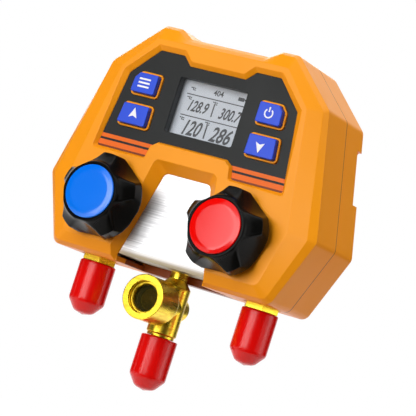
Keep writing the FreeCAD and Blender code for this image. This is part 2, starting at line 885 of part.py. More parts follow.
# A set of equal screws along Y with their heads at the back.
def screws(name, places, seat, radius, length, head_radius, head_height):
    length, head_radius, head_height = plain(length), plain(head_radius), plain(head_height)
    pieces = []
    for number, (x, z) in enumerate(places, start=1):
        shank = rod("%s_shank_%d" % (name, number), radius, length, x, seat - length, z)
        head = rod("%s_head_%d" % (name, number), head_radius, head_height, x, seat, z)
        screw = doc.addObject("Part::Fuse", "%s_%d" % (name, number))
        screw.Base = shank
        screw.Tool = head
        pieces.append(screw)
    group = doc.addObject("Part::Compound", name)
    group.Label = name
    group.Links = pieces
    parts.append(group)
    return group


def place(item, x, y, z, rotation=None):
    item.Placement = Placement(Vector(0, 0, 0), rotation or Rotation())
    item.setExpression("Placement.Base.x", plain(x).text)
    item.setExpression("Placement.Base.y", (plain(y) - s.housingDepth).text)
    item.setExpression("Placement.Base.z", (plain(z) - s.originHeight).text)


# A round rod along Y from its front end, or along another axis where one is named.
def rod(name, radius, length, x, y, z, rotation=None):
    item = doc.addObject("Part::Cylinder", name)
    item.setExpression("Radius", plain(radius).text)
    item.setExpression("Height", plain(length).text)
    place(item, x, y, z, rotation or Rotation(Vector(1, 0, 0), -90))
    return item


def block(name, left, front, bottom, right, back, top):
    item = doc.addObject("Part::Box", name)
    item.setExpression("Length", (plain(right) - left).text)
    item.setExpression("Width", (plain(back) - front).text)
    item.setExpression("Height", (plain(top) - bottom).text)
    place(item, left, front, bottom)
    return item


def compound(name, pieces):
    group = doc.addObject("Part::Compound", name)
    group.Label = name
    group.Links = pieces
    parts.append(group)
    return group


# Keys with a flange behind the wall, and the rubber membrane with its domes under them.
def key(name, rim, side):
    body = new_body(name)
    outline = inset(rim, s.keyRim + s.keyGap)
    back = s.frontWallBack + 0.2
    cap = plate(body, "Cap", [("outline", on_side(outline, side))], -s.keyHeight, back)
    front = -sizes["keyHeight"]
    soften(
        body, "Chamfer", "CapEdge", cap,
        lambda edge: all(abs(v.Point.y - front) < 1e-6 for v in edge.Vertexes), s.keyChamfer)
    flange = inset(outline, -s.keyFlange)
    plate(body, "Flange", [("outline", on_side(flange, side))], back, back + 1.0)


def rim_middle(rim):
    flat = [(plain(c[0]), plain(c[1])) for c in rim]
    left = min(flat, key=lambda c: c[0].value)[0]
    right = max(flat, key=lambda c: c[0].value)[0]
    low = min(flat, key=lambda c: c[1].value)[1]
    high = max(flat, key=lambda c: c[1].value)[1]
    return (left + right) / 2, (low + high) / 2


def keypad():
    for side, names in ((-1, ("menu_key", "up_key")), (1, ("power_key", "down_key"))):
        key(names[0], upper_rim(), side)
        key(names[1], lower_rim(), side)
    back = board_front()
    dome_top = s.frontWallBack + 0.2 + 1.0 + s.keyTravel + 0.2
    sheets = []
    for side, word in ((1, "right"), (-1, "left")):
        left, right = s.keyInner - 1.2, s.lowerKeyOuter + 0.6
        if side < 0:
            left, right = -right, -left
        sheet_piece = block(
            "membrane_sheet_" + word, left, back - 1.0, s.lowerKeyBottom - 1.2, right, back,
            s.upperKeyTop + 0.4)
        tools = [sheet_piece]
        for number, rim in enumerate((lower_rim(), upper_rim())):
            x, z = rim_middle(rim)
            dome = rod(
                "membrane_dome_%s_%d" % (word, number), s.domeRadius, back - 1.0 - dome_top, side * x,
                dome_top, z)
            tools.append(dome)
        fused = doc.addObject("Part::MultiFuse", "membrane_" + word)
        fused.Shapes = tools
        sheets.append(fused)
    compound("keypad_membrane", sheets)


def manifold():
    body = new_body("manifold_block")
    face = s.frontWallBack
    back = face + s.blockDepth
    outline = box_shape(-s.blockHalf, -s.blockFootDrop, s.blockHalf, -s.blockTopDrop)
    plate(body, "Bar", [("outline", outline)], face, back)
    valves = [(side * s.valveOffset, -s.valveDrop) for side in (1, -1)]
    opening(
        body, "ValveBores", [("circle", x, z, s.valveBoreRadius) for x, z in valves], face,
        face + s.valveBoreDepth)
    opening(
        body, "Seats", [("circle", x, z, s.seatRadius) for x, z in valves], face + s.valveBoreDepth,
        face + s.valveBoreDepth + s.seatDepth)
    ports = [
        ("circle", s.portOffset, s.portDepth, s.spigotRadius + s.fitGap),
        ("circle", -s.portOffset, s.portDepth, s.spigotRadius + s.fitGap),
        ("circle", 0, s.teeDepth, s.spigotRadius + s.fitGap),
    ]
    top = s.spigotLength - s.blockFootDrop
    shaft(body, "PortBores", ports, -s.blockFootDrop, top + 0.2)
    ways = [("circle", side * s.portOffset, s.portDepth, s.wayRadius) for side in (1, -1)]
    shaft(body, "PortWays", ways, -s.blockFootDrop, -s.valveDrop)
    shaft(
        body, "TeeWay", [("circle", 0, s.teeDepth, s.galleryRadius)], -s.blockFootDrop, -s.galleryDrop)
    seat_way = face + s.valveBoreDepth + s.seatDepth / 2
    for side, word in ((1, "Right"), (-1, "Left")):
        left, right = (s.valveOffset, s.blockHalf) if side > 0 else (-s.blockHalf, -s.valveOffset)
        cross_bore(body, "SeatWay" + word, [("circle", seat_way, -s.valveDrop, s.wayRadius)], left, right)
    cross_bore(
        body, "Gallery", [("circle", s.galleryDepth, -s.galleryDrop, s.galleryRadius)], -s.blockHalf,
        s.blockHalf)
    sensors = [("circle", side * s.valveOffset, s.sensorDepth, s.sensorThreadRadius + s.fitGap) for side in (1, -1)]
    shaft(body, "SensorBores", sensors, -s.blockTopDrop - s.sensorThreadLength - 0.2, -s.blockTopDrop)
    sensors = [("circle", side * s.valveOffset, s.sensorDepth, s.wayRadius - 1.0) for side in (1, -1)]
    shaft(body, "SensorWays", sensors, -s.valveDrop, -s.blockTopDrop)
    turn = Rotation(Vector(0, 1, 0), 90)
    plugs = []
    for side, word in ((1, "right"), (-1, "left")):
        start = s.blockHalf - s.plugLength if side > 0 else -s.blockHalf
        for number, (radius, y, z) in enumerate((
                (s.wayRadius, seat_way, -s.valveDrop), (s.galleryRadius, s.galleryDepth, -s.galleryDrop))):
            name = "plug_%s_%d" % (word, number)
            plugs.append(rod(name, radius, s.plugLength, start, y, z, turn))
    compound("gallery_plugs", plugs)


# Valve of one side: bonnet, piston with its seal, and stem.
def valve(word, side):
    x, z = side * s.valveOffset, -s.valveDrop
    face = s.frontWallBack
    body = new_body(word + "_bonnet")
    bore = s.stemRadius + s.fitGap
    turned(body, "Bonnet", [
        (bore, -s.bonnetFront), (s.bonnetRadius - 3.0, -s.bonnetFront), (s.bonnetRadius, -s.bonnetFront + 1.4, 0.8),
        (s.bonnetRadius, face), (s.valveBoreRadius - s.fitGap, face),
        (s.valveBoreRadius - s.fitGap, face + s.bonnetBody), (bore, face + s.bonnetBody),
    ], x, z)
    back = face + s.valveBoreDepth
    front = back - s.pistonLength
    outer = s.valveBoreRadius - s.fitGap
    socket = s.stemRadius + s.fitGap
    groove = front + s.socketDepth + 1.6
    body = new_body(word + "_piston")
    turned(body, "Piston", [
        (0, front + s.socketDepth), (socket, front + s.socketDepth), (socket, front), (outer, front),
        (outer, groove), (outer - s.sealDepth, groove), (outer - s.sealDepth, groove + s.sealWidth),
        (outer, groove + s.sealWidth), (outer, back - 1.0), (outer - 1.0, back), (0, back),
    ], x, z)
    body = new_body(word + "_piston_seal")
    turned(body, "Ring", [
        (outer - s.sealDepth, groove), (outer, groove, 0.6), (outer, groove + s.sealWidth, 0.6),
        (outer - s.sealDepth, groove + s.sealWidth),
    ], x, z)
    body = new_body(word + "_stem")
    hole = s.wheelScrewRadius + s.fitGap
    turned(body, "Stem", [
        (0, front + s.socketDepth - 0.1), (s.stemRadius, front + s.socketDepth - 0.1, 0.4),
        (s.stemRadius, -s.stemFront, 0.4), (hole, -s.stemFront), (hole, -s.stemFront + 8.0),
        (0, -s.stemFront + 9.0),
    ], x, z)


# Handwheel of one side with five lobes, its coloured disc and the screw under the disc.
# The lobes stand between five long scoops, which lean out towards the back.
def handwheel(word, side):
    x, z = side * s.valveOffset, -s.valveDrop
    body = new_body(word + "_handwheel")
    hollow = -s.wheelBack - s.hollowDepth
    hub = s.stemRadius + 2.6
    wheel = turned(body, "Wheel", [
        (s.stemRadius + s.fitGap, hollow), (hub, hollow, 0.6), (hub, -s.wheelBack - 1.0, 0.4),
        (s.wheelHollow, -s.wheelBack - 1.0, 0.4), (s.wheelHollow, hollow, 1.0),
        (s.wheelHollow + 5.4, hollow, 1.0), (s.wheelHollow + 5.4, -s.wheelBack),
        (s.wheelBackRadius, -s.wheelBack, 1.0), (s.wheelRadius - 0.3, -s.skirtBack, 1.8),
        (s.wheelRadius, -s.skirtFront, 1.6), (s.collarRadius + 0.8, -s.collarFront + 2.2, s.flareRadius),
        (s.collarRadius, -s.collarFront, 0.5), (s.discRadius + s.discGap, -s.collarFront),
        (s.discRadius + s.discGap, -s.discSeat), (s.wheelScrewHead + 1.2, -s.discSeat),
        (s.wheelScrewHead + 1.2, -s.stemFront - s.wheelWeb),
        (s.wheelScrewRadius + 0.2, -s.stemFront - s.wheelWeb), (s.wheelScrewRadius + 0.2, -s.stemFront),
        (s.stemRadius + s.fitGap, -s.stemFront),
    ], x, z)
    scoop = body.newObject("PartDesign::SubtractiveCylinder", "Scoop")
    scoop.AttachmentSupport = (origin_plane(body, "XZ_Plane"), [""])
    scoop.MapMode = "FlatFace"
    scoop.setExpression("Radius", s.scoopRadius.text)
    reach = 30.0
    scoop.Height = 2 * reach
    tilt = math.radians(sizes["scoopTilt"])
    away = s.scoopValley + s.scoopRadius / math.cos(tilt)
    depth = -s.discSeat + reach * math.cos(tilt)
    drop = z - away - reach * math.sin(tilt)
    scoop.AttachmentOffset = Placement(
        Vector(x.value, drop.value, -depth.value), Rotation(Vector(-1, 0, 0), sizes["scoopTilt"]))
    scoop.setExpression("AttachmentOffset.Base.x", x.text)
    scoop.setExpression("AttachmentOffset.Base.y", drop.text)
    scoop.setExpression("AttachmentOffset.Base.z", (-depth).text)
    pattern = body.newObject("PartDesign::PolarPattern", "Scoops")
    pattern.Originals = [scoop]
    pattern.Axis = (wheel.Profile[0], ["V_Axis"])
    pattern.Angle = 360
    pattern.Occurrences = 5
    body.Tip = pattern
    body = new_body(word + "_wheel_disc")
    turned(body, "Disc", [
        (0, -s.discSeat), (s.discRadius, -s.discSeat), (s.discRadius, -s.discFront + 0.5, 0.5),
        (s.discRadius - 2.5, -s.discFront, 8.0), (0, -s.discFront),
    ], x, z)
    body = new_body(word + "_wheel_screw")
    seat = -s.stemFront - s.wheelWeb
    turned(body, "Screw", [
        (0, seat + 8.4), (s.wheelScrewRadius, seat + 8.0), (s.wheelScrewRadius, seat),
        (s.wheelScrewHead, seat), (s.wheelScrewHead, seat - 2.2, 0.6), (0, seat - 2.6),
    ], x, z)


def sensor(word, side):
    x = side * s.valveOffset
    top = -s.blockTopDrop
    body = new_body(word + "_pressure_sensor")
    turned_up(body, "Can", [
        (0, top - s.sensorThreadLength), (s.sensorThreadRadius, top - s.sensorThreadLength, 0.5),
        (s.sensorThreadRadius, top), (s.sensorRadius, top), (s.sensorRadius, s.sensorTop, 0.8),
        (0, s.sensorTop),
    ], x, s.sensorDepth)
    board_back = board_front() + s.boardThickness
    column(
        body, "Connector", [("outline", box_shape(x - 3.4, board_back, x + 3.4, s.sensorDepth))],
        s.boardBottom + 3.4, s.boardBottom + 8.4)


# Hose port of one side with its hexagon and flare, and the red cap on it.
def port(word, side):
    x = side * s.portOffset
    foot = -s.blockFootDrop
    body = new_body(word + "_hose_port")
    end = foot - s.portLength
    hex_foot = foot - s.hexHeight
    turned_up(body, "Spigot", [
        (s.wayRadius, foot + s.spigotLength), (s.spigotRadius, foot + s.spigotLength, 0.5),
        (s.spigotRadius, hex_foot), (s.flareEndRadius - 0.9, hex_foot - 0.8),
        (s.flareEndRadius, hex_foot - 1.6), (s.flareEndRadius, end + 3.0), (s.flareEndRadius - 2.2, end),
        (s.wayRadius, end),
    ], x, s.portDepth)
    hexagon_pad = column(
        body, "Hexagon", [("outline", hexagon(x, s.portDepth, s.hexFlats)),
                          ("circle", x, s.portDepth, s.spigotRadius - 0.5)], hex_foot, foot)
    cap(word + "_port_cap", x, s.portDepth, hex_foot - s.capGap, s.capLength, s.capBoreDepth)
    return hexagon_pad


def cap(name, x, y, top, length, depth):
    body = new_body(name)
    bore = s.flareEndRadius + s.capBoreGap
    turned_up(body, "Cap", [
        (bore, top), (s.capRadius, top, 0.7), (s.capRadius, top - length + s.capNose, 3.2),
        (s.capRadius - 4.2, top - length + 1.2, 4.5), (0, top - length), (0, top - depth),
        (bore, top - depth),
    ], x, y)


def tee():
    y = s.teeDepth
    foot = -s.blockFootDrop
    axis = -s.glassDrop
    body = new_body("sight_glass_tee")
    end = -s.teeFlareEnd
    barrel_end = -s.teeBarrelEnd
    turned_up(body, "Barrel", [
        (0, foot + s.spigotLength), (s.spigotRadius, foot + s.spigotLength, 0.5),
        (s.spigotRadius, foot), (s.teeNeckRadius, foot), (s.teeNeckRadius, foot - s.teeNeckLength, 0.8),
        (s.teeBarrelRadius, foot - s.teeNeckLength - s.teeConeLength, 1.2),
        (s.teeBarrelRadius, barrel_end + s.teeRingLength + 0.5),
        (s.teeRingRadius, barrel_end + s.teeRingLength), (s.teeRingRadius, barrel_end, 0.2),
        (s.flareEndRadius - 0.9, barrel_end), (s.flareEndRadius, barrel_end - 1.0),
        (s.flareEndRadius, end + 3.0), (s.flareEndRadius - 2.2, end), (0, end),
    ], 0, y)
    turned(body, "Boss", [
        (0, -s.bossFront), (s.bossRadius, -s.bossFront, 0.4), (s.bossRadius, s.bossBack, 3.0),
        (s.bossRadius - 3.6, s.bossBack + 2.4), (s.bossRadius - 3.6, y - 1.0), (0, y),
    ], 0, axis)
    turned(body, "RearBoss", [
        (0, y - 1.0), (s.plugRadius + 1.8, y), (s.plugRadius + 1.8, y + s.teeBarrelRadius, 0.8),
        (0, y + s.teeBarrelRadius),
    ], 0, axis)
    seat = s.glassFront + s.glassThickness + s.glassSealThickness
    turned(body, "GlassBore", [
        (0, -s.bossFront - 1.0), (s.bossBoreRadius, -s.bossFront - 1.0), (s.bossBoreRadius, seat),
        (s.chamberRadius, seat), (s.chamberRadius, y - 2.0), (0, y - 2.0),
    ], 0, axis, "Groove")
    turned(body, "PlugBore", [
        (0, y + s.teeBarrelRadius + 1.0), (s.plugRadius, y + s.teeBarrelRadius + 1.0),
        (s.plugRadius, y + s.teeBarrelRadius - 4.0), (0, y + s.teeBarrelRadius - 4.0),
    ], 0, axis, "Groove")
    turned_up(body, "Way", [
        (0, foot + s.spigotLength + 1.0), (s.wayRadius, foot + s.spigotLength + 1.0),
        (s.wayRadius, end - 1.0), (0, end - 1.0),
    ], 0, y, "Groove")
    glass = new_body("sight_glass")
    outer = s.bossBoreRadius - s.fitGap
    glass_back = s.glassFront + s.glassThickness
    turned(glass, "Glass", [
        (0, s.glassFront), (outer, s.glassFront, 0.4), (outer, glass_back, 0.4), (0, glass_back),
    ], 0, axis)
    retainer = new_body("sight_glass_retainer")
    turned(retainer, "Ring", [
        (s.retainerInner + 0.5, -s.retainerFront), (outer, -s.retainerFront, 0.3),
        (outer, s.glassFront), (s.retainerInner, s.glassFront), (s.retainerInner, -s.retainerFront + 0.6, 0.2),
    ], 0, axis)
    seal = new_body("sight_glass_seal")
    turned(seal, "Ring", [
        (s.chamberRadius + 0.3, glass_back), (outer, glass_back), (outer, seat),
        (s.chamberRadius + 0.3, seat),
    ], 0, axis)
    plug = new_body("tee_plug")
    front = y + s.teeBarrelRadius - 4.0
    back = y + s.teeBarrelRadius + 2.0
    turned(plug, "Plug", [
        (0, front), (s.plugRadius - s.fitGap, front), (s.plugRadius - s.fitGap, y + s.teeBarrelRadius),
        (s.plugRadius + 1.4, y + s.teeBarrelRadius), (s.plugRadius + 1.4, back, 0.6), (2.2, back),
        (2.2, back - 1.6), (0, back - 1.6),
    ], 0, axis)
    cap("centre_port_cap", 0, y, barrel_end - s.capGap, s.capLength, s.capBoreDepth)


def batteries():
    cells = []
    up = Rotation()
    bottom = -s.bayFootDrop + 1.6
    for number, step in enumerate((-1.5, -0.5, 0.5, 1.5), start=1):
        x = s.cellPitch * step
        can = rod("cell_can_%d" % number, s.cellRadius, s.cellLength - 1.0, x, cell_depth, bottom, up)
        nub_low = bottom + s.cellLength - 1.0
        nub = rod("cell_nub_%d" % number, 1.9, 1.0, x, cell_depth, nub_low, up)
        cell = doc.addObject("Part::Fuse", "cell_%d" % number)
        cell.Base = can
        cell.Tool = nub
        cells.append(cell)
    compound("battery_cells", cells)
    contacts = []
    for number, step in enumerate((-1.5, -0.5, 0.5, 1.5), start=1):
        x = s.cellPitch * step
        half = s.cellPitch / 2 - 0.8
        low = -s.bayFootDrop
        top = bottom + s.cellLength
        contacts.append(block(
            "contact_low_%d" % number, x - half, cell_depth - 4.0, low, x + half, cell_depth + 4.0,
            bottom))
        contacts.append(block(
            "contact_high_%d" % number, x - half, cell_depth - 4.0, top, x + half, cell_depth + 4.0,
            s.bayTop))
    compound("battery_contacts", contacts)
    door = new_body("battery_door")
    back = s.housingDepth
    outline = box_shape(-s.doorHalf, -s.bayFootDrop - 2.0, s.doorHalf, s.doorTop, 1.8)
    plate(door, "Door", [("outline", outline)], back - s.doorThickness, back)
    opening(door, "ScrewWell", [("circle", 0, s.doorTop - 2.2, 1.7)], back - 1.2, back)
    opening(door, "ScrewHole", [("circle", 0, s.doorTop - 2.2, 1.0)], back - s.doorThickness, back)


def hook():
    body = new_body("folding_hook")
    middle = s.hookPinDepth
    front, back = middle - s.hookThickness / 2, middle + s.hookThickness / 2
    ring = s.hookPinHeight - s.hookReach
    plate(body, "Ring", [("circle", 0, ring, s.hookOuterRadius)], front, back)
    half = s.hookShank / 2
    plate(body, "Shank", [("outline", box_shape(-half, ring, half, s.hookPinHeight))], front, back)
    bar(body, "Hub", [("circle", middle, s.hookPinHeight, s.hookHubRadius)], -half, half)
    opening(body, "Eye", [("circle", 0, ring, s.hookInnerRadius)], front, back)
    mouth = [
        (-s.hookOuterRadius - 3.0, ring + 1.5), (-s.hookInnerRadius + 3.0, ring + 1.5),
        (-half, ring + s.hookInnerRadius - 1.6), (-half, ring + s.hookOuterRadius + 1.0),
        (-s.hookOuterRadius - 3.0, ring + s.hookOuterRadius + 1.0),
    ]
    opening(body, "Mouth", [("outline", mouth)], front, back)
    cross_bore(
        body, "PinHole", [("circle", middle, s.hookPinHeight, s.hookPinRadius + s.fitGap)], -half, half)
    pin = new_body("hook_pin")
    bar(
        pin, "Pin", [("circle", middle, s.hookPinHeight, s.hookPinRadius)],
        -s.hookPinHalf + 0.05, s.hookPinHalf - 0.05)


front_shell()
rear_shell()
panel()
display()
keypad()
board()
manifold()
for word, side in (("low", -1), ("high", 1)):
    valve(word, side)
    handwheel(word, side)
    sensor(word, side)
    port(word, side)
tee()
batteries()
hook()
screws(
    "housing_screws", screw_places, s.screwHeadDepth, s.screwRadius, s.screwLength, s.screwHeadRadius,
    s.screwHeadHeight)
doc.recompute()

for item in doc.Objects:
    if "Invalid" in item.State or "Error" in item.State:
        raise RuntimeError("%s could not be built" % item.Label)
for part in parts:
    if part.Shape.isNull() or not part.Shape.isValid():
        raise RuntimeError("%s has no valid shape" % part.Label)

os.makedirs("parts", exist_ok=True)
for part in parts:
    part.Shape.exportStep("parts/%s.step" % part.Label)
    print("%-24s %8.2f cm3" % (part.Label, part.Shape.Volume / 1000))
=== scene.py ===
import math

import bmesh
import bpy
from mathutils import Matrix, Vector


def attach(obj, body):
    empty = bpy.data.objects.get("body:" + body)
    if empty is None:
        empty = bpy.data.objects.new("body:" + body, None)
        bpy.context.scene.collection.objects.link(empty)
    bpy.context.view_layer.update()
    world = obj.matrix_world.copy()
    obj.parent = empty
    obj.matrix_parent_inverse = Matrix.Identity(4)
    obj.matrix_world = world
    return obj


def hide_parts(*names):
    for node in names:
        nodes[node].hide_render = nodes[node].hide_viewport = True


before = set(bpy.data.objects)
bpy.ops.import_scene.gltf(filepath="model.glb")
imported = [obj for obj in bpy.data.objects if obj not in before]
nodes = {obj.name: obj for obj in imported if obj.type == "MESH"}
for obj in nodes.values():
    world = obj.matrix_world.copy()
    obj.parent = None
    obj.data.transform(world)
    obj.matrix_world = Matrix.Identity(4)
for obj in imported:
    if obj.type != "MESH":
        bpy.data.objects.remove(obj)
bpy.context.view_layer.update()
scene = bpy.context.scene
print("frame loaded:", len(nodes), "nodes")

# Places are in millimetres from the middle of the panel's bottom line; the frame's origin is on the back
toFrame = Vector((0, -49.2, -5.5))


def spot(x, y, z):
    return (Vector((x, y, z)) + toFrame) / 1000


# Camera, at the photograph's place and turn
cameraSizes = {
    "eye": (487.14, -851.84, -93.16),
    "right": (0.84514201, 0.43943675, 0.30435231),
    "down": (0.2320576, 0.2113002, -0.94947432),
    "ahead": (-0.48154362, 0.8730679, 0.07660404),
    "lens": 178.36,
    "sensor": 36.0,
    "clipStart": 0.05,  # metres
}


def makeCamera(sizes):
    data = bpy.data.cameras.new("photoCamera")
    data.sensor_width = sizes["sensor"]
    data.lens = sizes["lens"]
    data.clip_start = sizes["clipStart"]
    camera = bpy.data.objects.new("photoCamera", data)
    scene.collection.objects.link(camera)
    turn = Matrix((sizes["right"], [-n for n in sizes["down"]], [-n for n in sizes["ahead"]])).transposed()
    camera.matrix_world = Matrix.Translation(spot(*sizes["eye"])) @ turn.to_4x4()
    scene.camera = camera


makeCamera(cameraSizes)
scene.view_settings.view_transform = "Standard"
print("camera placed")

# Light, in metres and watts: a large soft box at the left front, with weaker ones beside, above and behind.
# The soft box lights the surfaces, and a lower one in its place makes the highlights.
lightSizes = {
    "softBox": {"at": (-0.15, -1.28, 0.08), "size": (0.9, 1.5), "power": 19.5, "hiddenFrom": "glossy"},
    "glossBox": {"at": (-0.15, -1.28, -0.08), "size": (0.9, 0.86), "power": 11.2, "hiddenFrom": "diffuse"},
    "sideCard": {"at": (1.3, 0.35, 0.1), "size": (0.5, 1.0), "power": 3.0},
    "topCard": {"at": (0.3, 0.15, 1.2), "size": (1.5, 1.3), "power": 6.0},
    "backCard": {"at": (-0.7, 1.0, 0.5), "size": (0.8, 1.0), "power": 6.0},
}
# Dark cards that keep the pale room out of the gloss: place, width and height
flagSizes = {
    "leftFlag": ((-1.12, -0.93, 0.1), (1.25, 1.9)),
    "farLeftFlag": ((-1.42, 0.2, 0.1), (1.0, 1.6)),
    "rightFlag": ((1.0, -0.95, 0.1), (1.1, 1.8)),
    "upperFlag": ((-0.65, -0.72, 1.08), (1.6, 1.0)),
    "rearFlag": ((0.7, 1.15, 0.15), (1.0, 1.3)),
    "lowerFlag": ((0.12, -0.2, -0.33), (1.0, 0.8)),
}
studioSizes = {
    "fill": 0.55,  # the room's light on the object
    "floorHeight": -0.34,
    "floorSide": 8.0,
    "floorColour": (0.9, 0.9, 0.9, 1),
    "floorGlow": 0.5,  # lifts the floor to the white of the room, under the shadow
    "bounce": (0.72, 0.5, 0.28, 1),  # warm light from below
    "flagColour": (0.02, 0.02, 0.02, 1),
    "roughness": 0.9,
}


def turnToObject(at, axis):
    return (-Vector(at)).to_track_quat(axis, "Y")


def makeLight(name, sizes):
    data = bpy.data.lights.new(name, "AREA")
    data.shape = "RECTANGLE"
    data.size, data.size_y = sizes["size"]
    data.energy = sizes["power"]
    light = bpy.data.objects.new(name, data)
    scene.collection.objects.link(light)
    light.location = sizes["at"]
    light.rotation_euler = turnToObject(sizes["at"], "-Z").to_euler()
    light.visible_glossy = sizes.get("hiddenFrom") != "glossy"
    light.visible_diffuse = sizes.get("hiddenFrom") != "diffuse"


def makeCard(name, place, size, material):
    shape = bmesh.new()
    bmesh.ops.create_grid(shape, x_segments=1, y_segments=1, size=0.5)
    bmesh.ops.scale(shape, vec=(size[0], size[1], 1), verts=shape.verts)
    bmesh.ops.transform(shape, matrix=place, verts=shape.verts)
    mesh = bpy.data.meshes.new(name)
    shape.to_mesh(mesh)
    shape.free()
    mesh.materials.append(material)
    card = bpy.data.objects.new(name, mesh)
    scene.collection.objects.link(card)
    return card


def makeDullFinish(name, colour, roughness):
    material = bpy.data.materials.new(name)
    material.use_nodes = True
    shader = material.node_tree.nodes["Principled BSDF"]
    shader.inputs["Base Color"].default_value = colour
    shader.inputs["Roughness"].default_value = roughness
    return material


def makeFlag(name, at, size, cloth):
    facing = turnToObject(at, "Z").to_matrix().to_4x4()
    flag = makeCard(name, Matrix.Translation(at) @ facing, size, cloth)
    flag.visible_camera = False
    flag.visible_shadow = False


# Camera, glossy and transmission rays see the room white; all others see its working light
def isPlainRay(tree):
    path = tree.nodes.new("ShaderNodeLightPath")
    first = tree.nodes.new("ShaderNodeMath")
    first.operation = "MAXIMUM"
    second = tree.nodes.new("ShaderNodeMath")
    second.operation = "MAXIMUM"
    tree.links.new(path.outputs["Is Camera Ray"], first.inputs[0])
    tree.links.new(path.outputs["Is Glossy Ray"], first.inputs[1])
    tree.links.new(first.outputs[0], second.inputs[0])
    tree.links.new(path.outputs["Is Transmission Ray"], second.inputs[1])
    return second.outputs[0]


def chooseByRay(tree, working, seen, out):
    mix = tree.nodes.new("ShaderNodeMixShader")
    tree.links.new(isPlainRay(tree), mix.inputs["Fac"])
    tree.links.new(working.outputs[0], mix.inputs[1])
    tree.links.new(seen.outputs[0], mix.inputs[2])
    tree.links.new(mix.outputs[0], out.inputs["Surface"])


def makeWorld(sizes):
    world = bpy.data.worlds.new("paleStudio")
    scene.world = world
    world.use_nodes = True
    tree = world.node_tree
    tree.nodes.clear()
    seen = tree.nodes.new("ShaderNodeBackground")
    fill = tree.nodes.new("ShaderNodeBackground")
    for background, strength in ((seen, 1.0), (fill, sizes["fill"])):
        background.inputs["Color"].default_value = (1, 1, 1, 1)
        background.inputs["Strength"].default_value = strength
    chooseByRay(tree, fill, seen, tree.nodes.new("ShaderNodeOutputWorld"))


def makeFloor(sizes):
    material = makeDullFinish("paleFloor", sizes["floorColour"], sizes["roughness"])
    tree = material.node_tree
    bounce = tree.nodes.new("ShaderNodeBsdfDiffuse")
    bounce.inputs["Color"].default_value = sizes["bounce"]
    glow = tree.nodes.new("ShaderNodeEmission")
    glow.inputs["Color"].default_value = (1, 1, 1, 1)
    glow.inputs["Strength"].default_value = sizes["floorGlow"]
    seen = tree.nodes.new("ShaderNodeAddShader")
    tree.links.new(tree.nodes["Principled BSDF"].outputs[0], seen.inputs[0])
    tree.links.new(glow.outputs[0], seen.inputs[1])
    chooseByRay(tree, bounce, seen, tree.nodes["Material Output"])
    place = Matrix.Translation((0, 0, sizes["floorHeight"]))
    makeCard("paleFloor", place, (sizes["floorSide"], sizes["floorSide"]), material)


for lightName, values in lightSizes.items():
    makeLight(lightName, values)
flagCloth = makeDullFinish("flagCloth", studioSizes["flagColour"], studioSizes["roughness"])
for flagName, (flagPlace, flagSize) in flagSizes.items():
    makeFlag(flagName, flagPlace, flagSize, flagCloth)
makeWorld(studioSizes)
makeFloor(studioSizes)
print("light, world and floor made")


# Shader groups that several finishes share
def makeGroup(name, inputs, outputs):
    group = bpy.data.node_groups.new(name, "ShaderNodeTree")
    for label, kind, value in inputs:
        socket = group.interface.new_socket(label, in_out="INPUT", socket_type="NodeSocket" + kind)
        socket.default_value = value
    for label, kind in outputs:
        group.interface.new_socket(label, in_out="OUTPUT", socket_type="NodeSocket" + kind)
    return group, group.nodes.new("NodeGroupInput"), group.nodes.new("NodeGroupOutput")


def addNode(tree, kind, settings=None, **sockets):
    node = tree.nodes.new("ShaderNode" + kind)
    for key, value in (settings or {}).items():
        setattr(node, key, value)
    for key, value in sockets.items():
        node.inputs[key.replace("_", " ")].default_value = value
    return node


def link(tree, start, end):
    tree.links.new(start, end)


def feed(tree, value, socket):  # a plain number stays on the socket
    if isinstance(value, (int, float)):
        socket.default_value = value
    else:
        link(tree, value, socket)


def noise(tree, vector, scale, detail=3.0):
    node = addNode(tree, "TexNoise", Detail=detail)
    link(tree, vector, node.inputs["Vector"])
    feed(tree, scale, node.inputs["Scale"])
    return node.outputs["Fac"]


noiseSpan = (0.3, 0.7)  # nearly all of a noise lies between these


def spread(tree, value, low, high):
    node = addNode(tree, "MapRange", From_Min=noiseSpan[0], From_Max=noiseSpan[1])
    link(tree, value, node.inputs["Value"])
    feed(tree, low, node.inputs["To Min"])
    feed(tree, high, node.inputs["To Max"])
    return node.outputs["Result"]


surfaceInputs = [
    ("Tint", "Color", (0.5, 0.5, 0.5, 1)), ("Shade", "Color", (0.4, 0.4, 0.4, 1)), ("Depth", "Float", 0.1),
    ("Edge", "Float", 0.0003), ("Smoothest", "Float", 0.3), ("Roughest", "Float", 0.4)]
surfaceOutputs = [("Color", "Color"), ("Roughness", "Float"), ("Normal", "Vector")]
edgeSamples = 6


# Two close colours, patchy gloss, a fine relief, and edges rounded in the shading
def fillSurface(group, source, result, cloud, patches, relief, lift):
    colour = addNode(group, "Mix", {"data_type": "RGBA"})
    link(group, spread(group, cloud, 0.0, 1.0), colour.inputs["Factor"])
    link(group, source.outputs["Tint"], colour.inputs[6])
    link(group, source.outputs["Shade"], colour.inputs[7])
    link(group, colour.outputs[2], result.inputs["Color"])
    rough = spread(group, patches, source.outputs["Smoothest"], source.outputs["Roughest"])
    link(group, rough, result.inputs["Roughness"])
    edge = addNode(group, "Bevel", {"samples": edgeSamples})
    link(group, source.outputs["Edge"], edge.inputs["Radius"])
    bump = addNode(group, "Bump", Distance=lift)
    link(group, source.outputs["Depth"], bump.inputs["Strength"])
    link(group, relief, bump.inputs["Height"])
    link(group, edge.outputs["Normal"], bump.inputs["Normal"])
    link(group, bump.outputs["Normal"], result.inputs["Normal"])


# Moulded plastic: slight clouding of the colour and a fine skin
skinSizes = {"cloud": 14.0, "patches": 60.0, "detail": 4.0, "grainDetail": 2.0, "lift": 0.00012}


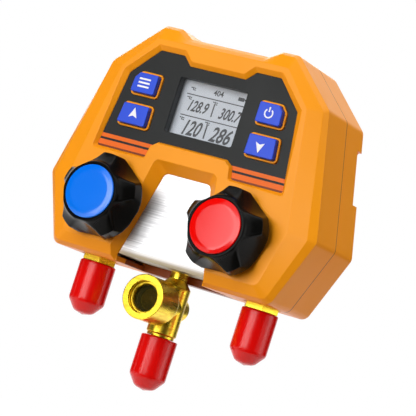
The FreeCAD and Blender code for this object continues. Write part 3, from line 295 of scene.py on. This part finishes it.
def mouldedSkin(sizes):
    group, source, result = makeGroup(
        "mouldedSkin", surfaceInputs + [("Grain", "Float", 900.0)], surfaceOutputs)
    where = addNode(group, "TexCoord").outputs["Object"]
    cloud = noise(group, where, sizes["cloud"], sizes["detail"])
    patches = noise(group, where, sizes["patches"], sizes["detail"])
    grain = noise(group, where, source.outputs["Grain"], sizes["grainDetail"])
    fillSurface(group, source, result, cloud, patches, grain, sizes["lift"])
    return group


# Machined metal: fine tool lines along one direction
lineSizes = {"detail": 5.0, "lift": 0.00005}


def toolLines(sizes):
    group, source, result = makeGroup(
        "toolLines", surfaceInputs + [("Stretch", "Vector", (8.0, 900.0, 900.0))], surfaceOutputs)
    stretch = addNode(group, "VectorMath", {"operation": "MULTIPLY"})
    link(group, addNode(group, "TexCoord").outputs["Object"], stretch.inputs[0])
    link(group, source.outputs["Stretch"], stretch.inputs[1])
    lines = noise(group, stretch.outputs[0], 1.0, sizes["detail"])
    fillSurface(group, source, result, lines, lines, lines, sizes["lift"])
    return group


skinGroup = mouldedSkin(skinSizes)
linesGroup = toolLines(lineSizes)


def rgb(red, green, blue):
    def linear(part):
        part /= 255
        return part / 12.92 if part <= 0.04045 else ((part + 0.055) / 1.055) ** 2.4
    return (linear(red), linear(green), linear(blue), 1)


def makeFinish(name, group, inputs, **surface):
    material = bpy.data.materials.new(name)
    material.use_nodes = True
    tree = material.node_tree
    shader = tree.nodes["Principled BSDF"]
    texture = tree.nodes.new("ShaderNodeGroup")
    texture.node_tree = group
    for label, value in inputs.items():
        texture.inputs[label].default_value = value
    link(tree, texture.outputs["Color"], shader.inputs["Base Color"])
    link(tree, texture.outputs["Roughness"], shader.inputs["Roughness"])
    link(tree, texture.outputs["Normal"], shader.inputs["Normal"])
    for label, value in surface.items():
        shader.inputs[label.replace("_", " ")].default_value = value
    return material


# Each finish: its group, the group's values, and constants of the shader
finishes = {
    "orangeShell": (skinGroup, {
        "Tint": rgb(252, 159, 22), "Shade": rgb(246, 153, 16), "Grain": 1500.0, "Depth": 0.12,
        "Edge": 0.0007, "Smoothest": 0.34, "Roughest": 0.42}, {"Specular_IOR_Level": 0.24}),
    "darkPlastic": (skinGroup, {
        "Tint": rgb(60, 62, 62), "Shade": rgb(56, 58, 58), "Grain": 1800.0, "Depth": 0.2,
        "Edge": 0.0003, "Smoothest": 0.45, "Roughest": 0.6}, {}),
    "hookPlastic": (skinGroup, {
        "Tint": rgb(40, 41, 43), "Shade": rgb(33, 34, 36), "Grain": 1500.0, "Depth": 0.25,
        "Edge": 0.0006, "Smoothest": 0.35, "Roughest": 0.5}, {}),
    "blueKey": (skinGroup, {
        "Tint": rgb(36, 80, 222), "Shade": rgb(30, 72, 210), "Grain": 1500.0, "Depth": 0.1,
        "Edge": 0.0004, "Smoothest": 0.35, "Roughest": 0.45}, {"Specular_IOR_Level": 0.35}),
    "blackWheel": (skinGroup, {
        "Tint": rgb(12, 12, 11), "Shade": rgb(8, 8, 8), "Grain": 1200.0, "Depth": 0.06,
        "Edge": 0.0005, "Smoothest": 0.16, "Roughest": 0.22}, {"Specular_IOR_Level": 0.08}),
    "blueDisc": (skinGroup, {
        "Tint": rgb(0, 122, 250), "Shade": rgb(0, 114, 242), "Grain": 1500.0, "Depth": 0.03,
        "Edge": 0.0004, "Smoothest": 0.14, "Roughest": 0.17}, {"Specular_IOR_Level": 0.5}),
    "redDisc": (skinGroup, {
        "Tint": rgb(244, 8, 4), "Shade": rgb(234, 4, 2), "Grain": 1500.0, "Depth": 0.03,
        "Edge": 0.0004, "Smoothest": 0.1, "Roughest": 0.13}, {"Specular_IOR_Level": 0.42}),
    "redCap": (skinGroup, {
        "Tint": rgb(230, 14, 10), "Shade": rgb(220, 10, 8), "Grain": 700.0, "Depth": 0.04,
        "Edge": 0.0018, "Smoothest": 0.16, "Roughest": 0.22}, {"Specular_IOR_Level": 0.3}),
    "greyRubber": (skinGroup, {
        "Tint": rgb(120, 120, 122), "Shade": rgb(108, 108, 110), "Grain": 900.0, "Depth": 0.2,
        "Edge": 0.0002, "Smoothest": 0.6, "Roughest": 0.75}, {}),
    "blackRubber": (skinGroup, {
        "Tint": rgb(38, 38, 38), "Shade": rgb(30, 30, 30), "Grain": 900.0, "Depth": 0.2,
        "Edge": 0.0002, "Smoothest": 0.5, "Roughest": 0.65}, {}),
    "greenBoard": (skinGroup, {
        "Tint": rgb(20, 110, 60), "Shade": rgb(14, 92, 48), "Grain": 900.0, "Depth": 0.1,
        "Edge": 0.0001, "Smoothest": 0.3, "Roughest": 0.45}, {}),
    "cellSleeve": (skinGroup, {
        "Tint": rgb(86, 92, 100), "Shade": rgb(76, 82, 90), "Grain": 900.0, "Depth": 0.05,
        "Edge": 0.0003, "Smoothest": 0.25, "Roughest": 0.35}, {"Metallic": 0.6}),
    "brushedBlock": (linesGroup, {
        "Tint": rgb(246, 246, 247), "Shade": rgb(206, 206, 208), "Stretch": (14.0, 1500.0, 1500.0),
        "Depth": 1.0, "Edge": 0.0003, "Smoothest": 0.34, "Roughest": 0.56}, {"Metallic": 0.85}),
    "turnedBrass": (linesGroup, {
        "Tint": rgb(250, 222, 66), "Shade": rgb(214, 174, 50), "Stretch": (160.0, 160.0, 700.0),
        "Depth": 0.12, "Edge": 0.0004, "Smoothest": 0.24, "Roughest": 0.36}, {"Metallic": 1.0}),
    "zincSteel": (linesGroup, {
        "Tint": rgb(196, 198, 202), "Shade": rgb(170, 172, 178), "Stretch": (300.0, 300.0, 900.0),
        "Depth": 0.15, "Edge": 0.0002, "Smoothest": 0.25, "Roughest": 0.4}, {"Metallic": 1.0}),
    "displayFace": (skinGroup, {
        "Tint": rgb(206, 212, 220), "Shade": rgb(196, 202, 211), "Grain": 2500.0, "Depth": 0.1,
        "Edge": 0.0001, "Smoothest": 0.4, "Roughest": 0.5}, {}),
    "displayInk": (skinGroup, {
        "Tint": rgb(22, 24, 30), "Shade": rgb(16, 18, 24), "Grain": 2000.0, "Depth": 0.02,
        "Edge": 0.00005, "Smoothest": 0.5, "Roughest": 0.6}, {}),
    "keyPrint": (skinGroup, {
        "Tint": rgb(246, 246, 250), "Shade": rgb(236, 236, 242), "Grain": 2000.0, "Depth": 0.02,
        "Edge": 0.00005, "Smoothest": 0.4, "Roughest": 0.5}, {}),
    "blackPanel": (skinGroup, {
        "Tint": (1, 1, 1, 1), "Shade": (0.9, 0.9, 0.9, 1), "Grain": 1500.0, "Depth": 0.15,
        "Edge": 0.0002, "Smoothest": 0.4, "Roughest": 0.5}, {"Specular_IOR_Level": 0.26}),
}
materials = {}
for finishName, (finishGroup, inputs, surface) in finishes.items():
    materials[finishName] = makeFinish(finishName, finishGroup, inputs, **surface)


def objectAxes(tree):
    split = addNode(tree, "SeparateXYZ")
    link(tree, addNode(tree, "TexCoord").outputs["Object"], split.inputs[0])
    return split.outputs


def band(tree, value, middle, half, soft):  # 1 inside the band, 0 outside, in millimetres
    away = addNode(tree, "Math", {"operation": "SUBTRACT"})
    link(tree, value, away.inputs[0])
    away.inputs[1].default_value = middle / 1000
    size = addNode(tree, "Math", {"operation": "ABSOLUTE"})
    link(tree, away.outputs[0], size.inputs[0])
    edge = addNode(tree, "MapRange", From_Min=(half + soft) / 1000, From_Max=half / 1000)
    link(tree, size.outputs[0], edge.inputs["Value"])
    return edge.outputs["Result"]


def product(tree, first, second):
    both = addNode(tree, "Math", {"operation": "MULTIPLY"})
    link(tree, first, both.inputs[0])
    link(tree, second, both.inputs[1])
    return both.outputs[0]


def tintWhere(material, mask, colour):
    tree = material.node_tree
    base = tree.nodes["Principled BSDF"].inputs["Base Color"]
    tone = addNode(tree, "Mix", {"data_type": "RGBA"})
    link(tree, mask, tone.inputs["Factor"])
    link(tree, base.links[0].from_socket, tone.inputs[6])
    tone.inputs[7].default_value = colour
    link(tree, tone.outputs[2], base)


# Panel: the moulded skin in black, with orange stripes across its foot
panelSizes = {
    # each colour starts at its height in the frame, in millimetres
    "stripes": ((-9.0, "line"), (-7.2, "orange"), (-4.6, "black"), (-3.5, "orange"), (-1.5, "black")),
    "top": 4.0,
    "black": rgb(26, 28, 28),
    "orange": rgb(238, 108, 22),
    "line": rgb(120, 56, 24),
}


def addStripes(material, sizes):
    tree = material.node_tree
    base = tree.nodes["Principled BSDF"].inputs["Base Color"]
    low, high = sizes["stripes"][0][0], sizes["top"]
    level = addNode(tree, "MapRange", From_Min=low / 1000, From_Max=high / 1000)
    link(tree, objectAxes(tree)["Z"], level.inputs["Value"])
    ramp = addNode(tree, "ValToRGB")
    link(tree, level.outputs["Result"], ramp.inputs["Fac"])
    ramp.color_ramp.interpolation = "CONSTANT"
    stops = ramp.color_ramp.elements
    while len(stops) < len(sizes["stripes"]):
        stops.new(1.0)
    for stop, (height, colour) in zip(stops, sizes["stripes"]):
        stop.position = (height - low) / (high - low)
        stop.color = sizes[colour]
    tone = addNode(tree, "Mix", {"data_type": "RGBA", "blend_type": "MULTIPLY"}, Factor=1.0)
    link(tree, ramp.outputs["Color"], tone.inputs[6])
    link(tree, base.links[0].from_socket, tone.inputs[7])
    link(tree, tone.outputs[2], base)


addStripes(materials["blackPanel"], panelSizes)

# Joint between the two shells: a thin dark line round the sides
jointSizes = {"depth": -23.2, "half": 0.22, "soft": 0.14, "dark": rgb(136, 68, 16)}


def addJointLine(material, sizes):
    tree = material.node_tree
    line = band(tree, objectAxes(tree)["Y"], sizes["depth"], sizes["half"], sizes["soft"])
    tintWhere(material, line, sizes["dark"])


addJointLine(materials["orangeShell"], jointSizes)

# Underside between the legs, in shade under the block: painted shade in a box, as the middle and half of each
# side
footShadeSizes = {
    "X": (0.0, 24.75), "Y": (-18.4, 17.4), "Z": (-59.0, 4.0), "soft": 0.3, "dark": rgb(140, 66, 18)}


def addPaintedFootShade(material, sizes):
    tree = material.node_tree
    axes = objectAxes(tree)
    x, y, z = (band(tree, axes[axis], *sizes[axis], sizes["soft"]) for axis in "XYZ")
    # paints that shade into the orange as a darker brown
    tintWhere(material, product(tree, product(tree, x, y), z), sizes["dark"])


addPaintedFootShade(materials["orangeShell"], footShadeSizes)

# Lower edge of the block: a painted reflection of the brass and orange below, tan towards the bottom
edgeReflectionSizes = {"edge": -55.4, "fade": 3.2, "tint": rgb(150, 138, 116)}


def addPaintedEdgeReflection(material, sizes):
    tree = material.node_tree
    level = addNode(
        tree, "MapRange", {"interpolation_type": "SMOOTHSTEP"},
        From_Min=(sizes["edge"] + sizes["fade"]) / 1000, From_Max=sizes["edge"] / 1000)
    link(tree, objectAxes(tree)["Z"], level.inputs["Value"])
    # paints that reflection into the block's colour, fading up from the lower edge
    tintWhere(material, level.outputs["Result"], sizes["tint"])


addPaintedEdgeReflection(materials["brushedBlock"], edgeReflectionSizes)

# Clear pieces, with a slight haze in their gloss
clearSizes = {
    "displayLens": {"tint": rgb(235, 240, 245), "roughness": 0.05, "alpha": 0.1},
    "sightGlass": {"tint": rgb(58, 52, 18), "roughness": 0.04, "alpha": 0.55},
}
hazeSizes = {"scale": 90.0, "more": 0.03, "ior": 1.45}


def makeClearFinish(name, sizes, haze):
    material = bpy.data.materials.new(name)
    material.use_nodes = True
    tree = material.node_tree
    shader = tree.nodes["Principled BSDF"]
    shader.inputs["Base Color"].default_value = sizes["tint"]
    shader.inputs["Alpha"].default_value = sizes["alpha"]
    shader.inputs["IOR"].default_value = haze["ior"]
    patches = noise(tree, addNode(tree, "TexCoord").outputs["Object"], haze["scale"])
    rough = spread(tree, patches, sizes["roughness"], sizes["roughness"] + haze["more"])
    link(tree, rough, shader.inputs["Roughness"])
    return material


for clearName, values in clearSizes.items():
    materials[clearName] = makeClearFinish(clearName, values, hazeSizes)
print("finishes made:", len(materials))

nodeFinish = {
    "orangeShell": ("front_shell", "rear_shell", "battery_door"),
    "blackPanel": ("faceplate",),
    "darkPlastic": ("display_bezel",),
    "displayLens": ("display_lens",),
    "displayFace": ("lcd_panel",),
    "greenBoard": ("main_circuit_board",),
    "greyRubber": ("keypad_membrane",),
    "blueKey": ("menu_key", "up_key", "power_key", "down_key"),
    "brushedBlock": ("manifold_block",),
    "turnedBrass": (
        "gallery_plugs", "low_bonnet", "high_bonnet", "low_piston", "high_piston", "low_hose_port",
        "high_hose_port", "sight_glass_tee", "sight_glass_retainer", "tee_plug"),
    "zincSteel": (
        "board_screws", "low_stem", "high_stem", "low_wheel_screw", "high_wheel_screw",
        "low_pressure_sensor", "high_pressure_sensor", "battery_contacts", "hook_pin", "housing_screws"),
    "blackWheel": ("low_handwheel", "high_handwheel"),
    "blueDisc": ("low_wheel_disc",),
    "redDisc": ("high_wheel_disc",),
    "redCap": ("low_port_cap", "high_port_cap", "centre_port_cap"),
    "sightGlass": ("sight_glass",),
    "blackRubber": ("low_piston_seal", "high_piston_seal", "sight_glass_seal"),
    "cellSleeve": ("battery_cells",),
    "hookPlastic": ("folding_hook",),
}
for finish, names in nodeFinish.items():
    for name in names:
        nodes[name].data.materials.clear()
        nodes[name].data.materials.append(materials[finish])


def addPiece(name, mesh, finish, body):
    mesh.materials.clear()
    mesh.materials.append(materials[finish])
    piece = bpy.data.objects.new(name, mesh)
    scene.collection.objects.link(piece)
    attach(piece, body)
    return piece


def toMetres(shape, x, y, z):
    bmesh.ops.scale(shape, vec=(0.001, 0.001, 0.001), verts=shape.verts)
    bmesh.ops.translate(shape, vec=spot(x, y, z), verts=shape.verts)


def standUp(shape, x, y, z):
    bmesh.ops.transform(shape, matrix=Matrix.Rotation(math.radians(90), 4, "X"), verts=shape.verts)
    toMetres(shape, x, y, z)


def finishMesh(shape, name):
    bmesh.ops.remove_doubles(shape, verts=shape.verts, dist=1e-7)
    bmesh.ops.recalc_face_normals(shape, faces=shape.faces)
    mesh = bpy.data.meshes.new(name)
    shape.to_mesh(mesh)
    shape.free()
    return mesh


# Handwheels, moulded with five soft lobes; points are radius and depth, from the valve's place
wheelSizes = {
    "across": 35.35,
    "height": -27.4,
    "inside": (
        (14.5, -21.2), (13.4, -21.2), (13.4, -20.3), (4.6, -20.3), (4.6, -16.5), (1.65, -16.5), (1.65, -15.0),
        (4.05, -15.0), (4.05, -12.6), (6.6, -12.6), (6.6, -5.0), (8.4, -5.0), (8.4, -12.6), (13.8, -12.6),
        (13.8, -4.0)),
    "outside": ((19.2, -4.0), (21.0, -7.0), (20.8, -13.8), (15.0, -20.5)),
    "cuts": 9,
    "flare": 1.35,
    "lobes": 5,
    "scoop": 17.0,  # radius of the round that cuts each valley
    "backValley": 18.2,
    "frontValley": 14.7,
    "back": -6.0,  # depths where those two valleys are
    "front": -20.0,
    "soft": 0.9,  # rounds the edges of the valleys
    "wall": 0.05,  # thinnest wall left round the hollow
    "steps": 180,
    "crease": math.radians(34),
}


def lobeRadius(sizes, radius, depth, angle):
    turn = 2 * math.pi / sizes["lobes"]
    away = (angle - math.pi / 2) % turn - turn / 2  # 0 in the middle of a valley
    forward = (sizes["back"] - depth) / (sizes["back"] - sizes["front"])
    valley = sizes["backValley"] + (sizes["frontValley"] - sizes["backValley"]) * forward
    centre = valley + sizes["scoop"]
    room = sizes["scoop"] ** 2 - (centre * math.sin(away)) ** 2
    if room <= 0:
        return radius
    cut = centre * math.cos(away) - math.sqrt(room)
    share = min(1.0, max(0.0, 0.5 + 0.5 * (cut - radius) / sizes["soft"]))
    return cut * (1 - share) + radius * share - sizes["soft"] * share * (1 - share)


def makeWheel(word, side, sizes):
    shape = bmesh.new()
    corners = [shape.verts.new((r, y, 0)) for r, y in sizes["inside"] + sizes["outside"]]
    edges = [shape.edges.new(pair) for pair in zip(corners, corners[1:] + corners[:1])]
    skin = edges[len(sizes["inside"]) - 1:]
    bmesh.ops.subdivide_edges(shape, edges=skin, cuts=sizes["cuts"])
    wide, start = sizes["outside"][2]
    narrow, end = sizes["outside"][3]
    for vert in shape.verts:
        if vert.co.x > narrow and vert.co.y < start:  # the flare runs out to the collar
            left = 1 - (start - vert.co.y) / (start - end)
            vert.co.x = narrow + (wide - narrow) * max(0.0, left) ** sizes["flare"]
    bmesh.ops.spin(
        shape, geom=shape.verts[:] + shape.edges[:], cent=(0, 0, 0), axis=(0, 1, 0), angle=2 * math.pi,
        steps=sizes["steps"], use_merge=True)
    least = sizes["inside"][-1][0] + sizes["wall"]
    for vert in shape.verts:
        radius = math.hypot(vert.co.x, vert.co.z)
        if radius > least:
            angle = math.atan2(vert.co.z, vert.co.x)
            reach = max(least, lobeRadius(sizes, radius, vert.co.y, angle))
            vert.co.x, vert.co.z = reach * math.cos(angle), reach * math.sin(angle)
    toMetres(shape, side * sizes["across"], 0, sizes["height"])
    for face in shape.faces:
        face.smooth = True
    for edge in shape.edges:
        edge.smooth = edge.calc_face_angle(0) < sizes["crease"]
    mesh = finishMesh(shape, word + "Wheel")
    wheel = addPiece(word + "Wheel", mesh, "blackWheel", word + "_wheel_and_stem")
    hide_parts(word + "_handwheel")


makeWheel("low", -1, wheelSizes)
makeWheel("high", 1, wheelSizes)
print("handwheels made")


# Marks on the display and keys are drawn face on, then stood up at their depth
def addBar(shape, x, z, width, height, thick):
    made = bmesh.ops.create_cube(shape, size=1.0)["verts"]
    bmesh.ops.scale(shape, vec=(width, height, thick), verts=made)
    bmesh.ops.translate(shape, vec=(x, z, 0), verts=made)


def addFigure(shape, text, x, z, height, slant, width, sizes):
    curve = bpy.data.curves.new("figure", "FONT")
    curve.body = text
    curve.align_x = "CENTER"
    curve.align_y = "CENTER"
    curve.size = height * sizes["fontScale"]
    curve.extrude = sizes["thick"] / 2
    curve.offset = height * sizes["bold"]
    curve.shear = slant
    curve.resolution_u = sizes["roundness"]
    holder = bpy.data.objects.new("figure", curve)
    scene.collection.objects.link(holder)
    bpy.context.view_layer.update()
    mesh = bpy.data.meshes.new_from_object(holder.evaluated_get(bpy.context.evaluated_depsgraph_get()))
    mesh.transform(Matrix.Translation((x, z, 0)) @ Matrix.Diagonal((width, 1, 1, 1)))
    shape.from_mesh(mesh)
    bpy.data.objects.remove(holder)
    bpy.data.meshes.remove(mesh)


# Bars give x, z, width and height; figures add their slant and how narrow they are
displaySizes = {
    "depth": 5.87,
    "thick": 0.05,
    "bold": 0.03,
    "fontScale": 1.38,
    "roundness": 3,
    "bars": ((0.4, 33.4, 33.6, 0.5), (0.4, 22.8, 33.6, 0.5), (0.2, 28.0, 0.7, 6.4), (-0.2, 17.2, 0.8, 7.0)),
    "figures": (
        ("128.9", -8.8, 27.8, 5.6, 0.4, 0.66), ("300.7", 9.4, 27.4, 5.6, 0.4, 0.66),
        ("120", -8.8, 16.8, 7.6, 0.4, 0.66), ("286", 8.0, 16.6, 7.6, 0.4, 0.7),
        ("404", 0.6, 36.6, 2.8, 0.0, 0.95)),
    "marks": ((-15.2, 32.0), (-0.6, 32.2), (-15.8, 21.4), (-1.4, 21.8), (-14.6, 36.8)),
    "strokes": ((0, 0, 1.0, 0.5), (0.9, -0.4, 0.5, 1.6), (1.8, -0.1, 0.9, 0.5), (1.8, -1.0, 0.9, 0.5)),
    "battery": ((13.4, 36.6, 3.4, 1.8), (15.5, 36.6, 0.6, 0.9)),
}


def makeDisplay(sizes):
    shape = bmesh.new()
    for x, z, width, height in sizes["bars"]:
        addBar(shape, x, z, width, height, sizes["thick"])
    for text, x, z, height, slant, width in sizes["figures"]:
        addFigure(shape, text, x, z, height, slant, width, sizes)
    for x, z in sizes["marks"]:  # small strokes where a unit stands
        for right, up, width, height in sizes["strokes"]:
            addBar(shape, x + right, z + up, width, height, sizes["thick"])
    for x, z, width, height in sizes["battery"]:
        addBar(shape, x, z, width, height, sizes["thick"])
    standUp(shape, 0, sizes["depth"], 0)
    addPiece("displayFigures", finishMesh(shape, "displayFigures"), "displayInk", "housing")


makeDisplay(displaySizes)

# Signs on the keys, with the middle of each key's face
keySizes = {
    "face": -3.9,
    "thick": 0.16,
    "sunk": 0.02,
    "menu": (-35.4, 31.8),
    "up": (-35.8, 15.7),
    "power": (35.0, 31.8),
    "down": (35.6, 15.7),
    "menuBar": {"width": 6.4, "height": 0.9, "step": 1.9},
    "arrow": {"radius": 3.1, "notch": 0.9, "scale": (0.9, 1.1, 1)},
    "ring": {"radius": 2.1, "half": 0.35, "gap": math.radians(38), "steps": 28, "post": (0, 1.9, 0.7, 2.4)},
}


def pointsOf(parts):
    return [part for part in parts if isinstance(part, bmesh.types.BMVert)]


def menuShape(bar, thick):
    shape = bmesh.new()
    for step in (-1, 0, 1):
        addBar(shape, 0, step * bar["step"], bar["width"], bar["height"], thick)
    return shape


def arrowShape(arrow, way, thick):
    shape = bmesh.new()
    bmesh.ops.create_circle(shape, cap_ends=True, segments=3, radius=arrow["radius"])
    foot = min(shape.edges, key=lambda edge: edge.verts[0].co.y + edge.verts[1].co.y)
    notch = bmesh.ops.subdivide_edges(shape, edges=[foot], cuts=1)["geom_inner"]
    bmesh.ops.translate(shape, vec=(0, arrow["notch"], 0), verts=pointsOf(notch))
    turn = Matrix.Rotation(math.radians(90 * way - 90), 3, "Z")
    bmesh.ops.rotate(shape, cent=(0, 0, 0), matrix=turn, verts=shape.verts)
    bmesh.ops.scale(shape, vec=arrow["scale"], verts=shape.verts)
    lifted = bmesh.ops.extrude_face_region(shape, geom=shape.faces[:])["geom"]
    bmesh.ops.translate(shape, vec=(0, 0, thick / 2), verts=pointsOf(lifted))
    return shape


# Open ring with a post in its gap
def ringShape(ring, thick):
    shape = bmesh.new()
    near, far = ring["radius"] - ring["half"], ring["radius"] + ring["half"]
    low, high = -thick / 2, thick / 2
    corners = ((near, low), (far, low), (far, high), (near, high))
    section = [shape.verts.new((radius, 0, level)) for radius, level in corners]
    face = shape.faces.new(section)
    start = Matrix.Rotation(math.radians(90) + ring["gap"], 3, "Z")
    bmesh.ops.rotate(shape, cent=(0, 0, 0), matrix=start, verts=section)
    bmesh.ops.spin(
        shape, geom=[face], cent=(0, 0, 0), axis=(0, 0, 1), angle=2 * math.pi - 2 * ring["gap"],
        steps=ring["steps"], use_merge=False)
    addBar(shape, *ring["post"], thick)
    return shape


def makeKeyMarks(sizes):
    thick = sizes["thick"]
    shapes = {
        "menu": menuShape(sizes["menuBar"], thick),
        "up": arrowShape(sizes["arrow"], 1, thick),
        "down": arrowShape(sizes["arrow"], -1, thick),
        "power": ringShape(sizes["ring"], thick),
    }
    for name, shape in shapes.items():
        x, z = sizes[name]
        standUp(shape, x, sizes["face"] - thick / 2 + sizes["sunk"], z)
        mesh = finishMesh(shape, name + "Mark")
        addPiece(name + "Mark", mesh, "keyPrint", name + "_key_body")


makeKeyMarks(keySizes)
print("display and key marks made")
